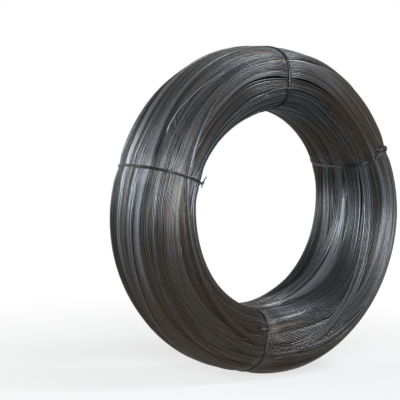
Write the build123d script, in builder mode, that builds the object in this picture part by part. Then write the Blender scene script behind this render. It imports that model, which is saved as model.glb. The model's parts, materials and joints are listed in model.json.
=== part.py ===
from build123d import *
from math import cos, pi, radians, sin
import os

# A coil of black annealed steel wire, standing on its rim as it would on a level floor, in millimetres.
# Its bore runs along Y and the origin is on the floor, under the middle of the coil.
# The wound wire is one turned solid, with its lays of turns as ridges that run round both ends.
# Four ties of doubled wire are pulled tight from ridge to ridge and bite into them, so each has a groove.
# The ends of each tie turn up out of the groove and are twisted together, flat against the winding.

# The wound wire
outer_diameter = 1000.0
bore_diameter = 590.0
coil_width = 290.0
rim_flat = 60.0  # straight stretch of the winding's section on the rim and in the bore
end_flat = 40.0  # straight stretch of the section on each end
lays = 9  # on each end, from the rim to the bore
lay_height = 6.0  # how far a lay stands out from the valleys beside it

# The ties
wire_diameter = 4.0
strand_bond = 0.2  # how far the two strands of a tie press into each other
strand_sides = 6
tie_clearance = 0.3  # from a tie to the floor of its groove, and from its twist to the winding
tie_recess = 0.7  # from the outside of a tie to the crests of the lays beside it
tie_side_clearance = 1.5  # from a tie to the sides of its groove
neck_length = 1.0  # straight stretch of the strands before they turn over into their twist
twist_length = 36.0
twist_turns = 1.5
twist_steps = 12  # straight steps in each strand of a twist
twist_lift = 8.0  # degrees that the twist stands off the winding

# Each tie: its place round the coil, in degrees from +X towards +Z; the end that its twist is on, 1 at +Y
# or -1 at -Y; the lay that its twist is on, from the rim; and the way its twist lies, 1 on round the coil
# or -1 back.
ties = {
    "tie_right": (25.0, -1, 2, 1),
    "tie_top": (92.0, 1, 5, 1),
    "tie_left": (164.0, -1, 8, -1),
    "tie_bottom": (260.0, -1, 5, -1),
}

outer_radius = outer_diameter / 2
bore_radius = bore_diameter / 2
half_width = coil_width / 2
half_height = (outer_radius - bore_radius) / 2
section_radius = (outer_radius + bore_radius) / 2  # from the coil's axis to the middle of its section
corner_height = half_height - end_flat / 2
corner_width = half_width - rim_flat / 2
wire_radius = wire_diameter / 2

# The strands of a tie lie side by side, with their middles this deep in the winding.
strand_depth = tie_recess + wire_radius
strand_offset = wire_radius - strand_bond / 2
strand_reach = wire_radius / cos(pi / strand_sides)  # from the middle of a strand to its corners
tie_groove_depth = tie_recess + wire_diameter + tie_clearance
tie_groove_width = 2 * (strand_offset + strand_reach + tie_side_clearance)
twist_height = strand_offset + strand_reach + tie_clearance  # of the middle of the twist, where it starts
neck_turn = 90 - twist_lift
neck_bend = (strand_depth + twist_height - neck_length) / sin(radians(neck_turn))

coil_centre = Vector(0, 0, outer_radius)
coil_axis = Axis(coil_centre, (0, 1, 0))

# The smooth outline that the crests lie on, from the edge of the rim, over the end at +Y, to the bore
with BuildLine() as flank:
    EllipticalCenterArc((end_flat / 2, rim_flat / 2), corner_height, corner_width, 0, arc_size=90)
    Line((end_flat / 2, half_width), (-end_flat / 2, half_width))
    EllipticalCenterArc((-end_flat / 2, rim_flat / 2), corner_height, corner_width, 90, arc_size=90)
flank = flank.wires()[0]


def flank_normal(share):
    """The way the winding faces, at a share of the way from the edge of the rim to the edge of the bore."""
    return (flank % share).rotate(Axis.Z, -90)


def flank_point(share, depth=0.0):
    """The point of the flank at that share, at a depth."""
    return flank @ share - flank_normal(share) * depth


def crest_share(lay):
    """Where a lay's crest is, as a share of the flank."""
    return (lay - 0.5) / lays


def section_plane(angle):
    """The plane of the winding's section at an angle round the coil, with x outwards and y along +Y."""
    outward = Vector(cos(radians(angle)), 0, sin(radians(angle)))
    return Plane(
        origin=coil_centre + outward * section_radius,
        x_dir=outward,
        z_dir=outward.cross(Vector(0, 1, 0)),
    )


def close_section(points):
    """A closed section through points of one flank, with the same on the other and flats between them."""
    Polyline(*points)
    mirror(about=Plane.XZ)
    for point in (points[0], points[-1]):
        Line(point, (point.X, -point.Y))


def lay_section():
    """The winding's section, with a crest and a valley for each lay."""
    points = [flank_point(0)]
    for lay in range(1, lays + 1):
        points.append(flank_point(crest_share(lay)))
        if lay < lays:
            points.append(flank_point(lay / lays, lay_height))
    close_section(points + [flank_point(1)])


def tight_section(depth):
    """What is pulled tight from crest to crest round the winding, at a depth below them."""
    crests = [crest_share(lay) for lay in range(1, lays + 1)]
    close_section([flank_point(share, depth) for share in (0, *crests, 1)])


def twin_strands():
    """The two strands of a tie, side by side."""
    with Locations((strand_offset, 0), (-strand_offset, 0)):
        RegularPolygon(wire_radius, strand_sides, major_radius=False)


os.makedirs("parts", exist_ok=True)

with BuildPart() as wire_coil:
    with BuildSketch(section_plane(0)):
        with BuildLine():
            lay_section()
        make_face()
    revolve(axis=coil_axis)
    for angle, _, _, _ in ties.values():
        with BuildSketch(section_plane(angle)):
            with BuildLine():
                tight_section(-tie_groove_depth)
            make_face()
            with BuildLine():
                tight_section(tie_groove_depth)
            make_face(mode=Mode.SUBTRACT)
        extrude(amount=tie_groove_width / 2, both=True, mode=Mode.SUBTRACT)
wire_coil.part.label = "wire_coil"
export_step(wire_coil.part, "parts/wire_coil.step")

for name, (angle, end, lay, lie) in ties.items():
    side = section_plane(angle)
    share = crest_share(lay)
    foot = flank_point(share, strand_depth)
    normal = flank_normal(share)
    foot = side.from_local_coords(Vector(foot.X, foot.Y * end))
    away = side.x_dir * normal.X + side.y_dir * normal.Y * end
    along = side.z_dir * lie

    with BuildPart() as tie:
        # The strands round the winding
        with BuildLine(mode=Mode.PRIVATE) as loop:
            tight_section(strand_depth)
        path = side.from_local_coords(loop.wires()[0])
        with BuildSketch(Plane(path @ 0, x_dir=side.z_dir, z_dir=path % 0)):
            twin_strands()
        sweep(path=path, transition=Transition.RIGHT)

        # Their ends, where they turn up out of the groove
        with BuildLine(Plane(foot, x_dir=along, z_dir=along.cross(away))) as neck:
            Line((0, 0), (0, neck_length))
            JernArc((0, neck_length), (0, 1), neck_bend, -neck_turn)
        neck = neck.wires()[0]
        with BuildSketch(Plane(foot, x_dir=along, z_dir=away)):
            twin_strands()
        sweep(path=neck)

        # The twist that closes the tie, each strand in short straight steps
        twist = Plane(neck @ 1, x_dir=along.cross(away), z_dir=neck % 1)
        for first in (90, 270):
            turned = [first + step * 360 * twist_turns / twist_steps for step in range(twist_steps + 1)]
            points = [
                twist.from_local_coords(
                    Vector(
                        strand_offset * cos(radians(turn)),
                        strand_offset * sin(radians(turn)),
                        step * twist_length / twist_steps,
                    )
                )
                for step, turn in enumerate(turned)
            ]
            with BuildLine(mode=Mode.PRIVATE) as strand:
                Polyline(*points)
            strand = strand.wires()[0]
            with BuildSketch(Plane(points[0], x_dir=along.cross(away), z_dir=neck % 1)):
                RegularPolygon(wire_radius, strand_sides, major_radius=False)
            sweep(path=strand, transition=Transition.RIGHT)
    tie.part.label = name
    export_step(tie.part, f"parts/{name}.step")
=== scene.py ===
import json
import math

import bpy
import numpy as np
from mathutils import Matrix, Vector


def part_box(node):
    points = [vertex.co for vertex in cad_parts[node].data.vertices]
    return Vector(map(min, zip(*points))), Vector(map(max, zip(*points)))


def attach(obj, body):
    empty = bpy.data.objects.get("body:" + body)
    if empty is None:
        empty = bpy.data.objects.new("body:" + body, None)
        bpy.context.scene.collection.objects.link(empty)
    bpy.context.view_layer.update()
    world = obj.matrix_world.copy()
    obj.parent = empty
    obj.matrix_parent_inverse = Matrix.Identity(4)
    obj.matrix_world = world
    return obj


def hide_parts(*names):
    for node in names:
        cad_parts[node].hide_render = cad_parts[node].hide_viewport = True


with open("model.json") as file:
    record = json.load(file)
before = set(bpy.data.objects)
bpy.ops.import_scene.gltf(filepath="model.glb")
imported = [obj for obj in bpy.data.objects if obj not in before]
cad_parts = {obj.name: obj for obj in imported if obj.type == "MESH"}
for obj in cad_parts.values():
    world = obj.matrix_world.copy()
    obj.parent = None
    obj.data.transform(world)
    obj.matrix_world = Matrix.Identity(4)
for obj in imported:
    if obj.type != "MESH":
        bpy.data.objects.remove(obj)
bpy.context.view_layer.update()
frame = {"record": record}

# Sizes in metres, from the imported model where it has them
coil_low, coil_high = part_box("wire_coil")
bore_mount = frame["record"]["mounts"][0]
bore_radius = bore_mount["dims"]["r_mm"] / 1000
outer_radius = (coil_high.z - coil_low.z) / 2
half_width = (coil_high.y - coil_low.y) / 2
centre_height = outer_radius
section_radius = (outer_radius + bore_radius) / 2
half_height = (outer_radius - bore_radius) / 2
rim_flat = 0.060
end_flat = 0.040
wire_diameter = 0.004
wire_radius = wire_diameter / 2

# The ties: their angles round the coil, and how deep they lie in the winding
tie_angles = {"tie_right": 25.0, "tie_top": 92.0, "tie_left": 164.0, "tie_bottom": 260.0}
# Each cuts in over a short way, draws the whole winding in over a longer one, and presses into the wires.
tie_bite = 0.0050
tie_bite_reach = 0.024
tie_waist = 0.0045
tie_waist_reach = 0.110
tie_press = 0.0004

# The winding is a little out of round: swells of its outside and of its bore, by order, in and out of phase
outer_swell = {1: (0.0, -0.0065), 2: (0.0, -0.0083), 3: (0.0, -0.0065)}
bore_swell = {0: (-0.0040, 0.0), 1: (0.0025, 0.0085), 2: (0.0015, 0.0020), 3: (0.0, 0.0040)}

# Depths from row to row, the pitch of the bundles that cross over, and the broad hollows of the surface
row_step = 0.0036
bundle_pitch = 0.0042
hollow_depth = 0.0075
hollow_rise = 0.0022

# Where the coil stands, its weight has pressed the lowest turns out flush
stand_angle = 270.0
stand_reach = 24.0
stand_rise = 0.0045

steps_per_turn = 144
theta = np.arange(steps_per_turn) * 2 * np.pi / steps_per_turn


# The outline of the winding's section, as a table by arc length
def make_outline(samples=4000):
    a = half_height - end_flat / 2
    b = half_width - rim_flat / 2
    pieces = []
    for quarter in range(4):
        turn = np.radians(np.linspace(90 * quarter, 90 * quarter + 90, 400))
        sx = 1 if quarter in (0, 3) else -1
        sy = 1 if quarter in (0, 1) else -1
        x = sx * end_flat / 2 + a * np.cos(turn)
        y = sy * rim_flat / 2 + b * np.sin(turn)
        pieces.append(np.stack([x, y], 1))
    points = np.concatenate(pieces + [pieces[0][:1]])
    along = np.concatenate([[0], np.cumsum(np.hypot(*np.diff(points, axis=0).T))])
    s = np.linspace(0, along[-1], samples, endpoint=False)
    xy = np.stack([np.interp(s, along, points[:, 0]), np.interp(s, along, points[:, 1])], 1)
    ahead = np.roll(xy, -8, 0) - np.roll(xy, 8, 0)
    ahead /= np.linalg.norm(ahead, axis=1)[:, None]
    normal = np.stack([ahead[:, 1], -ahead[:, 0]], 1)
    return along[-1], xy, normal


perimeter, outline_xy, outline_normal = make_outline()


def on_outline(s, table):
    """Values of a table of the outline at arc lengths s."""
    place = (np.asarray(s) % perimeter) / perimeter * len(table)
    low = np.floor(place).astype(int) % len(table)
    part = (place - np.floor(place))[..., None]
    return table[low] * (1 - part) + table[(low + 1) % len(table)] * part


def swell(table, turn):
    """How far the winding swells at angles round the coil."""
    made = 0 * turn
    for order, (in_phase, out_of_phase) in table.items():
        made = made + in_phase * np.cos(order * turn) + out_of_phase * np.sin(order * turn)
    return made


def place_in_coil(turn, s, depth):
    """Points and outward normals in the coil, from angles round it, arcs round its section and depths."""
    xy = on_outline(s, outline_xy)
    normal = on_outline(s, outline_normal)
    normal = normal / np.linalg.norm(normal, axis=-1, keepdims=True)
    xy = xy - normal * np.asarray(depth)[..., None]
    cos, sin = np.cos(turn), np.sin(turn)
    outer_share = xy[..., 0] / half_height / 2 + 0.5
    radial = section_radius + xy[..., 0]
    radial = radial + outer_share * swell(outer_swell, turn) + (1 - outer_share) * swell(bore_swell, turn)
    point = np.stack([radial * cos, xy[..., 1], centre_height + radial * sin], -1)
    outward = np.stack([normal[..., 0] * cos, normal[..., 1], normal[..., 0] * sin], -1)
    return point, outward


def waves(rng, count, harmonics=5, fade=0.7):
    """Smooth random functions of the angle round the coil, within about -1 and 1, one row each."""
    order = np.arange(1, harmonics + 1)
    size = rng.normal(size=(count, harmonics)) / order**fade
    shift = rng.uniform(0, 2 * np.pi, (count, harmonics))
    value = (size[:, :, None] * np.cos(order[None, :, None] * theta + shift[:, :, None])).sum(1)
    return value / (1e-9 + np.sqrt((size**2).sum(1) / 2))[:, None] / 1.6


def tie_pull(reach):
    """How strongly the ties pull the winding together at each step round the coil, from 0 to 1."""
    pull = np.zeros(steps_per_turn)
    for angle in tie_angles.values():
        off = (theta - math.radians(angle) + np.pi) % (2 * np.pi) - np.pi
        pull = np.maximum(pull, np.exp(-((off * section_radius / reach) ** 2)))
    return pull


pull = tie_pull(0.035)
waist = tie_bite * tie_pull(tie_bite_reach) + tie_waist * tie_pull(tie_waist_reach)


def broad_field(rng, s, amplitude):
    """Broad swells of the winding, periodic both ways, from 0 to about the amplitude."""
    value = np.zeros(s.shape)
    for across in range(1, 9):
        for around in range(0, 4):
            size = rng.normal() / (1 + 0.15 * across + 0.5 * around)
            shift = rng.uniform(0, 2 * np.pi)
            value += size * np.cos(2 * np.pi * across * s / perimeter + around * theta[None, :] + shift)
    return amplitude * np.clip(0.5 + value / (4.2 * value.std()), 0, 1.2)


# Deep furrows between bundles: angle round the coil in degrees, arc length round the section, and half width
furrows = [
    ([(96, 0.768), (122, 0.736), (146, 0.717), (171, 0.720), (196, 0.738)], 0.0065),
    ([(128, 0.702), (142, 0.690), (156, 0.667), (174, 0.650)], 0.0040),
    ([(30, 0.425), (10, 0.435), (-2, 0.441), (-20, 0.464)], 0.0065),
    ([(20, 0.520), (0, 0.512), (-30, 0.520)], 0.0045),
    ([(150, 0.795), (171, 0.790), (200, 0.800)], 0.0045),
    ([(300, 0.470), (275, 0.440), (250, 0.455)], 0.0050),
    ([(52, 0.560), (80, 0.585), (112, 0.592)], 0.0026),
]


def open_furrow(s, path, half_width):
    """Draw the turns beside a furrow along its path, and part them there."""
    angles = np.radians([angle for angle, _ in path])
    middle = angles.mean()
    at = (theta - middle + np.pi) % (2 * np.pi) - np.pi + middle
    order = np.argsort(angles)
    line = np.interp(at, angles[order], np.array([arc for _, arc in path])[order])
    line = np.convolve(np.concatenate([line[-6:], line, line[:6]]), np.ones(13) / 13, "valid")
    half_span = (angles.max() - angles.min()) / 2
    centre = (angles.max() + angles.min()) / 2
    envelope = np.clip(1.15 - np.abs(at - centre) / half_span * 0.9, 0, 1)
    envelope = envelope**2 * (3 - 2 * envelope)
    step = int(np.argmin(np.abs(at - centre)))
    low = int(np.argmin(np.abs((s[:, step] - line[step] + perimeter / 2) % perimeter - perimeter / 2)))
    side = (s - s[low] + perimeter / 2) % perimeter - perimeter / 2
    near = np.exp(-((side / 0.055) ** 2))
    guide = (line - s[low] + perimeter / 2) % perimeter - perimeter / 2
    s = s + guide * envelope * near
    part = np.where(side > 1e-6, 1.0, -1.0) * np.exp(-np.abs(side) / 0.022)
    return s + half_width * envelope * (1 - 0.6 * pull) * part


# The outer rows of the winding, and where round the coil each turn moves over to the lane of the next
outer_turns = 166
outer_rows = 3
cross_over_start = 235.0
cross_over = np.clip((np.degrees(theta) - cross_over_start) / (360 - cross_over_start), 0, 1)
cross_over = cross_over**2 * (3 - 2 * cross_over)


def next_lane(lanes, lap=0.0):
    """Lanes that run on, each into the next, so that together they are one wire."""
    following = np.roll(lanes, -1, axis=0)
    following[-1] = following[-1] + lap
    return lanes * (1 - cross_over) + following * cross_over


def wind(rng, turns, rows, clump, looseness, drift):
    """The outer rows of turns, in bundles that part and close: their arcs, depths, tones and browning."""
    sizes = []
    while sum(sizes) < turns:
        sizes.append(int(rng.integers(clump[0], clump[1] + 1)))
    sizes[-1] -= sum(sizes) - turns
    clump_of = np.repeat(np.arange(len(sizes)), sizes)
    first = np.concatenate([[0], np.cumsum(sizes)[:-1]])
    middle = (np.arange(turns) - first[clump_of] + 0.5) / np.array(sizes)[clump_of] * 2 - 1
    opening = np.clip(waves(rng, len(sizes)) + 0.35, 0, None) ** 1.4
    weight = 0.04 + 0.03 * np.clip(waves(rng, turns, 7) + 1, 0, None)
    weight[np.cumsum(sizes) - 1] += looseness * opening
    weight = weight * (1 - 0.8 * pull) + 0.12 * pull
    slack = perimeter - turns * wire_diameter
    gaps = wire_diameter + slack * weight / weight.sum(0)
    edges = np.concatenate([np.zeros((1, steps_per_turn)), np.cumsum(gaps, 0)])
    s = (edges[:-1] + edges[1:]) / 2
    for order, size in enumerate(drift, 1):
        s = s + size * np.cos(order * theta + rng.uniform(0, 2 * np.pi))
    for path, half_width in furrows:
        s = open_furrow(s, path, half_width)
    free = 1 - 0.75 * pull
    lift = (0.0030 + 0.0030 * np.clip(waves(rng, len(sizes), 4) * 0.5 + 0.5, 0, 1))[clump_of]
    sunk = (0.0040 * np.clip(waves(rng, len(sizes), 3) * 0.6 + 0.3, 0, 1))[clump_of]
    shape = (lift * middle[:, None] ** 2 + sunk) * free
    tone = 0.42 + 0.17 * rng.normal(size=len(sizes))[clump_of]
    browned = 0.14 * rng.normal(size=len(sizes))[clump_of]
    made = []
    for row in range(rows):
        shift = 0.5 * wire_diameter * (row % 2) + 0.0006 * waves(rng, turns, 7)
        depth = wire_radius + row_step * row + shape + 0.0005 * waves(rng, turns, 9) * free
        look = tone[:, None] + 0.10 * rng.normal(size=turns)[:, None] + 0.10 * waves(rng, turns, 9, 0.3)
        brown = browned[:, None] + 0.10 * rng.normal(size=turns)[:, None] + 0.10 * waves(rng, turns, 6)
        made.append((next_lane(s + shift, perimeter), next_lane(depth), next_lane(look), next_lane(brown)))
    return made


def crossing_bundle(rng, wires, middle_arc, sway, phase, dive_phase):
    """A bundle that lies over the others for part of its turn and slants across them."""
    path = middle_arc + sway * np.cos(theta + phase) + 0.3 * sway * np.cos(2 * theta + phase * 1.7)
    row = np.arange(wires) - (wires - 1) / 2
    tight = 1 + 0.10 * waves(rng, 1, 3)
    s = path[None, :] + row[:, None] * bundle_pitch * tight + 0.0006 * waves(rng, wires, 8)
    dive = 0.5 - 0.5 * np.cos(theta - dive_phase)
    dive = np.clip((dive - 0.35) / 0.4, 0, 1)
    crown = 0.0030 * (row / (wires / 2)) ** 2
    depth = wire_radius + crown[:, None] + 0.012 * dive + 0.0004 * waves(rng, wires, 8)
    over = (path, wires * bundle_pitch / 2 + wire_diameter, 1 - dive)
    look = 0.46 + 0.14 * rng.normal(size=wires)[:, None] + 0.10 * waves(rng, wires, 9, 0.3)
    brown = 0.12 * rng.normal(size=wires)[:, None] + 0.10 * waves(rng, wires, 6)
    return s, depth, look, brown, over


def course(turns):
    """The step after each one along the wire, and the one before: the outer rows run on, turn into turn."""
    index = np.arange(turns * steps_per_turn).reshape(turns, steps_per_turn)
    after = np.roll(index, -1, axis=1)
    for low in range(0, outer_rows * outer_turns, outer_turns):
        after[low : low + outer_turns, -1] = np.roll(index[low : low + outer_turns, 0], -1)
    after = after.reshape(-1)
    before = np.empty_like(after)
    before[after] = index.reshape(-1)
    return after, before


def relax(s, d, rounds=26, reach=7):
    """Push wires apart where they cut into each other, keeping each one smooth and under the surface."""
    after, before = course(len(s))
    for _ in range(rounds):
        order = np.argsort(s % perimeter, axis=0)
        ss = np.take_along_axis(s % perimeter, order, 0)
        dd = np.take_along_axis(d, order, 0)
        push_s = np.zeros_like(ss)
        push_d = np.zeros_like(dd)
        for k in range(1, reach + 1):
            ds = np.roll(ss, -k, 0) - ss
            ds[-k:] += perimeter
            dz = np.roll(dd, -k, 0) - dd
            dist = np.sqrt(ds**2 + dz**2) + 1e-9
            over = np.clip(wire_diameter - dist, 0, None) * 0.5
            move_s, move_d = over * ds / dist, over * dz / dist
            push_s -= move_s
            push_d -= move_d
            push_s += np.roll(move_s, k, 0)
            push_d += np.roll(move_d, k, 0)
        back_s, back_d = np.zeros_like(s), np.zeros_like(d)
        np.put_along_axis(back_s, order, push_s, 0)
        np.put_along_axis(back_d, order, push_d, 0)
        for back in (back_s, back_d):
            flat = back.reshape(-1)
            for smoothing in range(4):
                flat[:] = (flat[before] + 2 * flat + flat[after]) / 4
        s = s + 0.8 * back_s
        d = np.clip(d + 0.8 * back_d, wire_radius, None)
    return s, d


def tube_mesh(points, normals, radius, sides, tone, closed=False):
    """A tube along points, with the tone and rust of each point."""
    count = len(points)
    if closed:
        ahead = np.roll(points, -1, 0) - np.roll(points, 1, 0)
    else:
        ahead = np.gradient(points, axis=0)
    ahead /= np.linalg.norm(ahead, axis=1)[:, None]
    side = np.cross(ahead, normals)
    side /= np.linalg.norm(side, axis=1)[:, None]
    up = np.cross(side, ahead)
    around = np.arange(sides) * 2 * np.pi / sides + np.pi / 2
    radius = np.broadcast_to(np.asarray(radius), (count,))
    ring = np.cos(around)[None, :, None] * side[:, None] + np.sin(around)[None, :, None] * up[:, None]
    verts = (points[:, None] + ring * radius[:, None, None]).reshape(-1, 3)
    links = count if closed else count - 1
    low = (np.arange(links)[:, None] * sides + np.arange(sides)).reshape(-1)
    beside = (np.arange(links)[:, None] * sides + (np.arange(sides) + 1) % sides).reshape(-1)
    total = count * sides
    quads = np.stack([low, beside, (beside + sides) % total, (low + sides) % total], 1)
    return verts, quads, np.repeat(tone, sides, axis=0), sides, closed, count


def make_object(name, tubes, material, body="root"):
    """One mesh object from several tubes."""
    verts, quads, tones = [], [], []
    base = 0
    caps = []
    for v, q, t, sides, closed, count in tubes:
        verts.append(v)
        quads.append(q + base)
        tones.append(t)
        if not closed:
            caps.append([base + i for i in reversed(range(sides))])
            caps.append([base + (count - 1) * sides + i for i in range(sides)])
        base += len(v)
    verts, quads, tones = np.concatenate(verts), np.concatenate(quads), np.concatenate(tones)
    mesh = bpy.data.meshes.new(name)
    mesh.vertices.add(len(verts))
    mesh.vertices.foreach_set("co", verts.astype(np.float32).reshape(-1))
    corner_counts = [4] * len(quads) + [len(c) for c in caps]
    corners = np.concatenate([quads.reshape(-1)] + [np.array(c) for c in caps]).astype(np.int32)
    mesh.loops.add(len(corners))
    mesh.loops.foreach_set("vertex_index", corners)
    starts = np.concatenate([[0], np.cumsum(corner_counts)[:-1]]).astype(np.int32)
    mesh.polygons.add(len(corner_counts))
    mesh.polygons.foreach_set("loop_start", starts)
    mesh.polygons.foreach_set("use_smooth", np.ones(len(corner_counts), dtype=bool))
    mesh.update(calc_edges=True)
    mesh.validate()
    for column, name_of_layer in enumerate(("tone", "rust")):
        layer = mesh.attributes.new(name_of_layer, "FLOAT", "POINT")
        layer.data.foreach_set("value", np.ascontiguousarray(tones[:, column], dtype=np.float32))
    piece = bpy.data.objects.new(name, mesh)
    bpy.context.scene.collection.objects.link(piece)
    mesh.materials.append(material)
    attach(piece, body)
    return piece


def smooth_path(points, step):
    """A smooth curve through points, by steps of an even length."""
    points = np.array(points)
    ends = np.concatenate([[2 * points[0] - points[1]], points, [2 * points[-1] - points[-2]]])
    made = []
    for i in range(1, len(ends) - 2):
        a, b, c, d = ends[i - 1 : i + 3]
        parts = max(2, int(np.linalg.norm(c - b) / step))
        for u in np.arange(parts) / parts:
            bend = (2 * a - 5 * b + 4 * c - d) * u**2 + (3 * b - a - 3 * c + d) * u**3
            made.append(0.5 * (2 * b + (c - a) * u + bend))
    made.append(points[-1])
    return np.array(made)


# Materials
def node(tree, kind, **values):
    made = tree.nodes.new(kind)
    for key, value in values.items():
        setattr(made, key, value)
    return made


def ramp(tree, stops):
    made = tree.nodes.new("ShaderNodeValToRGB")
    elements = made.color_ramp.elements
    while len(elements) < len(stops):
        elements.new(0.5)
    for element, (at, colour) in zip(elements, stops):
        element.position = at
        element.color = (*colour, 1)
    return made


def wire_material(
    name, dark, mid, light, brown, metallic=0.85, specular=0.5, smoothest=0.26, roughest=0.42
):
    """Annealed steel: a dark oxide with a cold sheen, a little brown where it has begun to rust. Also used
    for the painted shade of the inner turns.
    """
    material = bpy.data.materials.new(name)
    material.use_nodes = True
    tree = material.node_tree
    shader = tree.nodes["Principled BSDF"]
    link = tree.links.new
    tone = node(tree, "ShaderNodeAttribute", attribute_name="tone")
    place = node(tree, "ShaderNodeTexCoord")
    patches = node(tree, "ShaderNodeTexNoise")
    patches.inputs["Scale"].default_value = 5.0
    patches.inputs["Detail"].default_value = 5.0
    specks = node(tree, "ShaderNodeTexNoise")
    specks.inputs["Scale"].default_value = 220.0
    specks.inputs["Detail"].default_value = 3.0
    link(place.outputs["Object"], patches.inputs["Vector"])
    link(place.outputs["Object"], specks.inputs["Vector"])
    add = node(tree, "ShaderNodeMath", operation="MULTIPLY_ADD")
    link(specks.outputs["Fac"], add.inputs[0])
    add.inputs[1].default_value = 0.5
    link(tone.outputs["Fac"], add.inputs[2])
    shade = ramp(tree, [(0.15, dark), (0.65, mid), (1.2 / 1.3, light)])
    link(add.outputs[0], shade.inputs["Fac"])
    browned = node(tree, "ShaderNodeAttribute", attribute_name="rust")
    patchy = node(tree, "ShaderNodeMath", operation="MULTIPLY_ADD")
    link(patches.outputs["Fac"], patchy.inputs[0])
    patchy.inputs[1].default_value = 0.9
    link(browned.outputs["Fac"], patchy.inputs[2])
    rust = ramp(tree, [(0.60, (0, 0, 0)), (1.0, (1, 1, 1))])
    link(patchy.outputs[0], rust.inputs["Fac"])
    mix = node(tree, "ShaderNodeMix", data_type="RGBA")
    link(shade.outputs["Color"], mix.inputs["A"])
    mix.inputs["B"].default_value = (*brown, 1)
    amount = node(tree, "ShaderNodeMath", operation="MULTIPLY")
    link(rust.outputs["Color"], amount.inputs[0])
    amount.inputs[1].default_value = 0.75
    link(amount.outputs[0], mix.inputs["Factor"])
    link(mix.outputs["Result"], shader.inputs["Base Color"])
    rough = node(tree, "ShaderNodeMapRange")
    link(patches.outputs["Fac"], rough.inputs["Value"])
    rough.inputs["To Min"].default_value = smoothest
    rough.inputs["To Max"].default_value = roughest
    link(rough.outputs["Result"], shader.inputs["Roughness"])
    bump = node(tree, "ShaderNodeBump")
    bump.inputs["Strength"].default_value = 0.15
    bump.inputs["Distance"].default_value = 0.0004
    link(specks.outputs["Fac"], bump.inputs["Height"])
    link(bump.outputs["Normal"], shader.inputs["Normal"])
    shader.inputs["Metallic"].default_value = metallic
    shader.inputs["Specular IOR Level"].default_value = specular
    return material


wire_finish = wire_material(
    "annealed_wire_finish",
    (0.005, 0.006, 0.006),
    (0.037, 0.039, 0.041),
    (0.118, 0.122, 0.130),
    (0.053, 0.039, 0.025),
)
tie_finish = wire_material(
    "tie_wire_finish",
    (0.008, 0.008, 0.009),
    (0.025, 0.026, 0.029),
    (0.059, 0.064, 0.073),
    (0.025, 0.020, 0.016),
)
# A near-black, dull finish: painted shade for the inner turns deep in the gaps between the outer wires.
inner_painted_shade = wire_material(
    "inner_turns_painted_shade",
    (0.003, 0.003, 0.003),
    (0.006, 0.006, 0.006),
    (0.010, 0.010, 0.010),
    (0.008, 0.006, 0.004),
    metallic=0.0,
    specular=0.05,
    smoothest=0.85,
    roughest=0.95,
)

# The winding
rng = np.random.default_rng(41)
layers = wind(rng, outer_turns, outer_rows, (4, 14), 1.0, (0.018, 0.010, 0.007, 0.004))
crossings = [
    crossing_bundle(rng, 9, 0.700, 0.040, 0.4, 2.6),
    crossing_bundle(rng, 7, 0.560, 0.045, 2.2, 5.6),
    crossing_bundle(rng, 8, 0.420, 0.036, 4.0, 0.3),
    crossing_bundle(rng, 6, 0.800, 0.030, 1.0, 4.4),
    crossing_bundle(rng, 8, 0.210, 0.050, 5.1, 1.5),
    crossing_bundle(rng, 6, 0.050, 0.038, 3.0, 3.6),
    crossing_bundle(rng, 5, 0.620, 0.050, 5.5, 3.9),
]
all_s = np.concatenate([layer[0] for layer in layers])
all_d = np.concatenate([layer[1] for layer in layers])
for *_, (path, bundle_reach, above) in crossings:
    off = (all_s - path + perimeter / 2) % perimeter - perimeter / 2
    all_d = all_d + bundle_pitch * above / (1 + (off / bundle_reach) ** 6)
all_s = np.concatenate([all_s] + [c[0] for c in crossings])
all_d = np.concatenate([all_d] + [c[1] for c in crossings])
all_tone = np.concatenate([layer[2] for layer in layers] + [c[2] for c in crossings])
all_rust = np.concatenate([layer[3] for layer in layers] + [c[3] for c in crossings])
all_d = all_d + broad_field(rng, all_s, hollow_depth) * (1 - 0.8 * pull) - hollow_rise
all_s, all_d = relax(all_s, all_d)
standing = stand_rise * np.exp(-(((np.degrees(theta) - stand_angle) / stand_reach) ** 2))
all_d = np.clip(all_d - standing, wire_radius, None) + waist


def rust_zone(middle, reach):
    """Where round the coil the wire has browned, from 0 to 1."""
    off = (theta - math.radians(middle) + np.pi) % (2 * np.pi) - np.pi
    return np.exp(-((off / math.radians(reach)) ** 2))


browning = 0.08 + 0.75 * rust_zone(235, 38) + 0.55 * rust_zone(45, 26)
all_rust = all_rust + browning


def wire_tube(rows, closed):
    """A tube along some of the turns, one after the other, on to the start of the turn that follows."""
    s, d = all_s[rows], all_d[rows]
    look = np.stack([all_tone[rows], all_rust[rows]], 2)
    turn = np.tile(theta, (len(rows), 1))
    if not closed:
        after = rows[-1] + 1 if (rows[-1] + 1) % outer_turns else rows[-1] + 1 - outer_turns
        s, d, look = s.reshape(-1), d.reshape(-1), look.reshape(-1, 2)
        turn = np.append(turn.reshape(-1), 0.0)
        s, d = np.append(s, all_s[after, 0]), np.append(d, all_d[after, 0])
        look = np.concatenate([look, np.stack([all_tone[after, :1], all_rust[after, :1]], 1)])
    points, normals = place_in_coil(turn.reshape(-1), s.reshape(-1), d.reshape(-1))
    return tube_mesh(points, normals, wire_radius, 5, np.clip(look.reshape(-1, 2), 0, 1), closed)


turns_per_piece = 83
for number, low in enumerate(range(0, outer_rows * outer_turns, turns_per_piece), 1):
    tube = wire_tube(np.arange(low, low + turns_per_piece), False)
    piece = make_object(f"winding_{number}", [tube], wire_finish)
    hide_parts("wire_coil")
tubes = [wire_tube(np.array([row]), True) for row in range(outer_rows * outer_turns, len(all_s))]
piece = make_object("winding_crossings", tubes, wire_finish)
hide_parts("wire_coil")
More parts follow.
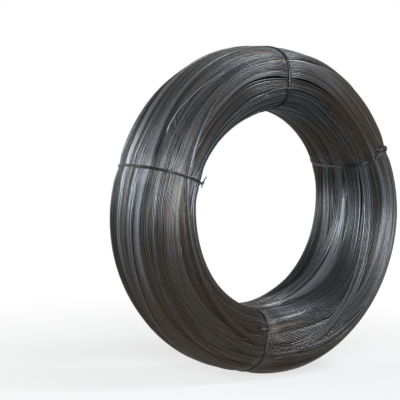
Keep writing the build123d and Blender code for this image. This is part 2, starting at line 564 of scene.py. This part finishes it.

# Stray wires that have sprung out of line: angles in degrees and arcs, the tone each is painted with (the
# light ones a painted highlight), and how far they rise
strays = [
    ([(120, 0.672), (128, 0.685), (137, 0.697), (146, 0.706), (152, 0.708)], 0.95, 0.002),
    (
        [(140, 0.708), (145, 0.700), (148, 0.688), (150, 0.673), (153, 0.664), (158, 0.662), (166, 0.664)],
        0.20,
        0.004,
    ),
    ([(60, 0.520), (75, 0.548), (95, 0.560), (118, 0.546)], 0.4, 0.001),
    ([(190, 0.600), (210, 0.622), (235, 0.612), (250, 0.590)], 0.35, 0.001),
    ([(280, 0.430), (305, 0.462), (330, 0.470)], 0.3, 0.001),
    ([(200, 0.180), (225, 0.215), (250, 0.220), (268, 0.200)], 0.5, 0.002),
    ([(20, 0.240), (45, 0.200), (70, 0.215)], 0.5, 0.002),
    ([(100, 0.120), (130, 0.160), (155, 0.150)], 0.70, 0.001),
    ([(30, 0.010), (55, 0.040), (85, 0.030)], 0.75, 0.001),
]


def surface_depth(turn, s):
    """How deep the topmost wire lies at angles round the coil and arc lengths."""
    step = np.round(turn / (2 * np.pi) * steps_per_turn).astype(int) % steps_per_turn
    off = (all_s[:, step] - s + perimeter / 2) % perimeter - perimeter / 2
    return np.where(np.abs(off) < 0.0045, all_d[:, step], 1.0).min(0)


tubes = []
for path, painted_sheen_tone, rise in strays:
    angles = np.unwrap(np.radians([angle for angle, _ in path]))
    arcs = np.array([arc for _, arc in path])
    knots = np.stack([angles * section_radius, arcs, 0 * arcs], 1)
    line = smooth_path(knots, 0.003)
    turn, s = line[:, 0] / section_radius, line[:, 1]
    u = np.linspace(0, 1, len(line))
    depth = np.clip(surface_depth(turn, s), 0, 0.016) - 0.0036
    depth = np.convolve(np.pad(depth, 6, "edge"), np.ones(13) / 13, "valid")
    tucked = (1 - np.clip(np.minimum(u, 1 - u) / 0.10, 0, 1)) ** 2
    depth = depth - rise * np.sin(np.pi * u) ** 2 + 0.012 * tucked
    points, normals = place_in_coil(turn, s, np.clip(depth, wire_radius, None))
    rusty = np.interp(turn, theta, browning, period=2 * np.pi)
    # Each stray's tone is painted; the light ones are a painted highlight, the sheen these wires catch.
    look = np.clip(np.stack([np.full(len(u), painted_sheen_tone), rusty], 1), 0, 1)
    tubes.append(tube_mesh(points, normals, wire_radius, 8, look))
piece = make_object("stray_wires", tubes, wire_finish)
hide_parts("wire_coil")

# The wires further in, which close the view between the outer ones; the sheet is painted near black, a
# painted shade for the deep gaps.
core_around = 96
core_depth = 0.0190
core_s = np.linspace(0, perimeter, core_around, endpoint=False)
turn_grid, s_grid = np.meshgrid(theta, core_s, indexing="ij")
core_points, _ = place_in_coil(turn_grid, s_grid, core_depth + waist[:, None] + 0 * s_grid)
core_mesh = bpy.data.meshes.new("inner_turns")
faces = []
for i in range(steps_per_turn):
    for j in range(core_around):
        here, beyond = i * core_around, (i + 1) % steps_per_turn * core_around
        beside = (j + 1) % core_around
        faces.append((here + j, here + beside, beyond + beside, beyond + j))
core_mesh.from_pydata(core_points.reshape(-1, 3).tolist(), [], faces)
core_mesh.materials.append(inner_painted_shade)
core = bpy.data.objects.new("inner_turns", core_mesh)
bpy.context.scene.collection.objects.link(core)
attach(core, "root")
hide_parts("wire_coil")


def transport(points, first):
    """Normals that turn as little as they can along a path, from a first one."""
    ahead = np.gradient(points, axis=0)
    ahead /= np.linalg.norm(ahead, axis=1)[:, None]
    normals = np.zeros_like(points)
    normal = first
    for i, way in enumerate(ahead):
        normal = normal - way * normal.dot(way)
        normal = normal / np.linalg.norm(normal)
        normals[i] = normal
    return normals


# Where each tie is closed: the end of the coil, -1 in front, and the share of the flank from rim to bore.
# Then the middle of its twist, as millimetres on round the coil, towards the bore and up from the tie,
# the turns of the twist, and where its two ends go.
tie_radius = 0.0019
strand_offset = 0.0018
twists = {
    "tie_right": (
        -1,
        3.2 / 9,
        [(0, 0, 1), (5, 0, 6), (13, 1, 8), (18, 8, 7), (19, 22, 6), (17, 38, 6)],
        3.0,
        [(14, 46, 7), (10, 52, 8), (10, 58, 7)],
        [(21, 43, 8), (26, 48, 8), (27, 56, 7)],
    ),
    "tie_top": (
        1,
        4.5 / 9,
        [(0, 0, 1), (5, 0, 5), (14, 1, 6), (26, 2, 5.5), (36, 3, 5.5)],
        2.5,
        [(42, 0, 5.5), (47, -2, 6)],
        [(42, 6, 5.5), (46, 9, 5)],
    ),
    "tie_left": (
        -1,
        6.9 / 9,
        [(0, 0, 1), (-4, 2, 6), (-10, 4, 8)],
        1.0,
        [(-17, 3, 9), (-24, 2, 11), (-30, 3, 12)],
        [(-8, 9, 9), (2, 12, 8), (12, 11, 7)],
    ),
    "tie_bottom": (
        -1,
        5.6 / 9,
        [(0, 0, 1), (-5, 0, 5), (-14, -1, 6), (-26, -2, 5.5), (-34, -2, 5.5)],
        2.5,
        [(-40, -6, 6), (-45, -9, 7)],
        [(-40, 2, 6), (-46, 3, 6)],
    ),
}

# The outline's table starts at the edge of the rim's flat, so the flat's middle is half a flat before it.
zero_arc = -rim_flat / 2


def flank_arc(share, end):
    """The arc length of the outline at a share of a flank, which runs from the rim's edge to the bore's."""
    flank = (perimeter - 2 * rim_flat) / 2
    start = share * flank
    return start if end > 0 else perimeter + 2 * zero_arc - start


def tie_depth_table(angle):
    """How deep a taut tie lies at an angle round the coil: it bridges the hollows and touches the crests."""
    table = np.arange(240) * perimeter / 240
    lie_depth = surface_depth(np.full(240, angle), table)
    taut = np.minimum.reduce([np.roll(lie_depth, k) for k in range(-7, 8)])
    taut = np.mean([np.roll(taut, k) for k in range(-6, 7)], axis=0)
    return table, np.clip(taut - wire_radius - tie_radius + tie_press, tie_radius + 0.0002, None)


def add_tie(name, rng):
    end, share, middle, turns, end_a, end_b = twists[name]
    angle = math.radians(tie_angles[name])
    foot_arc = flank_arc(share, end)
    table, taut = tie_depth_table(angle)
    round_way = np.array([-math.sin(angle), 0, math.cos(angle)])

    def near_tie(steps):
        """Points beside the foot of the twist, from millimetres round the coil, to the bore and up."""
        steps = np.array(steps, dtype=float) / 1000
        arcs = foot_arc + end * steps[:, 1]
        depth = np.interp(arcs % perimeter, table, taut, period=perimeter)
        return place_in_coil(angle + steps[:, 0] / section_radius, arcs, depth - steps[:, 2])[0]

    samples = 260
    s = foot_arc + np.linspace(0.0015, perimeter - 0.0015, samples)
    strand_depth = np.interp(s % perimeter, table, taut, period=perimeter)
    axis = smooth_path(near_tie(middle), 0.0009)
    foot_normal = place_in_coil(np.array([angle]), np.array([foot_arc]), np.array([0.0]))[1][0]
    axis_normals = transport(axis, foot_normal)
    axis_ahead = np.gradient(axis, axis=0)
    axis_ahead /= np.linalg.norm(axis_ahead, axis=1)[:, None]
    axis_side = np.cross(axis_ahead, axis_normals)
    tubes = []
    for strand, end_steps in ((1, end_a), (-1, end_b)):
        wobble = np.zeros(samples)
        for order in range(1, 7):
            size = rng.normal() * 0.00045
            wobble += size * np.sin(2 * np.pi * order * s / perimeter + rng.uniform(0, 6.28))
        spread = 1 + 0.45 * np.clip(np.sin(2 * np.pi * s / perimeter * 2 + rng.uniform(0, 6.28)), 0, 1)
        shift = strand * strand_offset * spread + 0.6 * wobble
        depth = strand_depth + 0.00020 * (1 + np.sin(2 * np.pi * s / perimeter * 5 + strand))
        point, normal = place_in_coil(np.full(samples, angle), s, depth)
        point = point + round_way * shift[:, None]
        u = np.linspace(0, 1, len(axis))
        spin = 2 * math.pi * turns * u + (0 if strand > 0 else math.pi)
        loose = strand_offset * (1 + 0.25 * u**2)
        swing = axis_side * np.cos(spin)[:, None] + axis_normals * np.sin(spin)[:, None]
        wound = axis + loose[:, None] * swing
        tail = smooth_path([wound[-1]] + list(near_tie(end_steps)), 0.0015)
        path = np.concatenate([point[:-2], wound[4:], tail[2:]])
        keep = np.ones(len(path), dtype=bool)
        keep[1:] = np.linalg.norm(np.diff(path, axis=0), axis=1) > 0.0003
        path = path[keep]
        normals = transport(path, normal[0])
        # The last stretch of each tie end is painted lighter: a painted highlight on the twisted ends.
        painted_end_sheen = np.clip((np.arange(len(path)) - (len(path) - 30)) / 30, 0, 1)
        tone = 0.35 + 0.15 * np.sin(np.arange(len(path)) * 0.05 + strand) + 0.35 * painted_end_sheen
        look = np.stack([tone, 0 * tone + 0.2], 1)
        tubes.append(tube_mesh(path, normals, tie_radius, 10, look))
    piece = make_object(f"{name}_wire", tubes, tie_finish, "root")
    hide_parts(name)


tie_rng = np.random.default_rng(7)
for tie_name in tie_angles:
    add_tie(tie_name, tie_rng)


def any_ray(tree, kinds):
    """1 for rays of any of these kinds, otherwise 0."""
    rays = node(tree, "ShaderNodeLightPath")
    made = rays.outputs[kinds[0]]
    for kind in kinds[1:]:
        either = node(tree, "ShaderNodeMath", operation="MAXIMUM")
        tree.links.new(made, either.inputs[0])
        tree.links.new(rays.outputs[kind], either.inputs[1])
        made = either.outputs[0]
    return made


# The floor, the light and the camera
floor_mesh = bpy.data.meshes.new("floor")
far = 30.0
floor_mesh.from_pydata([(-far, -far, 0), (far, -far, 0), (far, far, 0), (-far, far, 0)], [], [(0, 1, 2, 3)])
floor = bpy.data.objects.new("floor", floor_mesh)
bpy.context.scene.collection.objects.link(floor)
floor_finish = bpy.data.materials.new("floor_finish")
floor_finish.use_nodes = True
tree = floor_finish.node_tree
plain = tree.nodes["Principled BSDF"]
plain.inputs["Base Color"].default_value = (0.42, 0.42, 0.42, 1)
plain.inputs["Roughness"].default_value = 0.9
glow = node(tree, "ShaderNodeEmission")
glow.inputs["Strength"].default_value = 1.0
share = node(tree, "ShaderNodeMath", operation="MULTIPLY")
spot = node(tree, "ShaderNodeTexCoord")
reach = node(tree, "ShaderNodeVectorMath", operation="LENGTH")
fade = node(tree, "ShaderNodeMapRange", interpolation_type="SMOOTHSTEP")
fade.inputs["From Min"].default_value = 0.4
fade.inputs["From Max"].default_value = 1.8
fade.inputs["To Min"].default_value = 0.72
fade.inputs["To Max"].default_value = 1.0
tree.links.new(spot.outputs["Object"], reach.inputs[0])
tree.links.new(reach.outputs["Value"], fade.inputs["Value"])
tree.links.new(fade.outputs["Result"], share.inputs[1])
mixed = node(tree, "ShaderNodeMixShader")
tree.links.new(any_ray(tree, ["Is Camera Ray", "Is Glossy Ray"]), share.inputs[0])
tree.links.new(share.outputs[0], mixed.inputs["Fac"])
tree.links.new(plain.outputs[0], mixed.inputs[1])
tree.links.new(glow.outputs[0], mixed.inputs[2])
tree.links.new(mixed.outputs[0], tree.nodes["Material Output"].inputs["Surface"])
floor_mesh.materials.append(floor_finish)

world = bpy.data.worlds.new("studio")
bpy.context.scene.world = world
world.use_nodes = True
tree = world.node_tree
backdrop = tree.nodes["Background"]
backdrop.inputs["Color"].default_value = (1, 1, 1, 1)
level = node(tree, "ShaderNodeMapRange")
level.inputs["To Min"].default_value = 0.02
level.inputs["To Max"].default_value = 1.0
white_rays = any_ray(tree, ["Is Camera Ray", "Is Transmission Ray", "Is Glossy Ray"])
tree.links.new(white_rays, level.inputs["Value"])
tree.links.new(level.outputs["Result"], backdrop.inputs["Strength"])

coil_centre = Vector((0, 0, centre_height))


def softbox(name, direction, distance, size, power, colour):
    """A square lamp that faces the coil's centre."""
    data = bpy.data.lights.new(name, "AREA")
    data.shape = "SQUARE"
    data.size = size
    data.energy = power
    data.color = colour
    lamp = bpy.data.objects.new(name, data)
    way = Vector(direction).normalized()
    lamp.location = coil_centre + way * distance
    lamp.rotation_euler = way.to_track_quat("Z", "Y").to_euler()
    bpy.context.scene.collection.objects.link(lamp)
    return lamp


softbox("left_light", (-0.62, -0.75, 0.21), 3.2, 1.0, 192, (0.88, 0.94, 1.0))
softbox("back_light", (-0.70, 0.85, 0.35), 3.4, 1.6, 72, (1.0, 1.0, 1.0))
softbox("top_light", (0.5, -0.5, 0.85), 3.2, 0.9, 108, (0.90, 0.95, 1.0))

# The camera, from the photograph's side: the coil's centre shows right of the frame's middle and below it
azimuth, elevation, roll = (math.radians(v) for v in (-40.0, 4.2, 1.9))
frame_pixels = 400
focal_pixels = 1497
centre_pixel = (259.4, 209.4)
camera_distance = 4.55
level_reach = math.cos(elevation)
back = Vector((math.sin(azimuth) * level_reach, -math.cos(azimuth) * level_reach, math.sin(elevation)))
right = (-back).cross(Vector((0, 0, 1))).normalized()
up = right.cross(-back)
right, up = right * math.cos(roll) + up * math.sin(roll), up * math.cos(roll) - right * math.sin(roll)
aim = -back - right * (centre_pixel[0] - frame_pixels / 2) / focal_pixels
aim = (aim + up * (centre_pixel[1] - frame_pixels / 2) / focal_pixels).normalized()
right = (right - aim * right.dot(aim)).normalized()
up = right.cross(aim)
camera_data = bpy.data.cameras.new("camera")
camera_data.sensor_width = 36
camera_data.lens = 36 * focal_pixels / frame_pixels
camera = bpy.data.objects.new("camera", camera_data)
place = coil_centre + back * camera_distance
camera.matrix_world = Matrix(
    (
        (right.x, up.x, -aim.x, place.x),
        (right.y, up.y, -aim.y, place.y),
        (right.z, up.z, -aim.z, place.z),
        (0, 0, 0, 1),
    )
)
bpy.context.scene.collection.objects.link(camera)
bpy.context.scene.camera = camera
bpy.context.scene.view_settings.view_transform = "Standard"
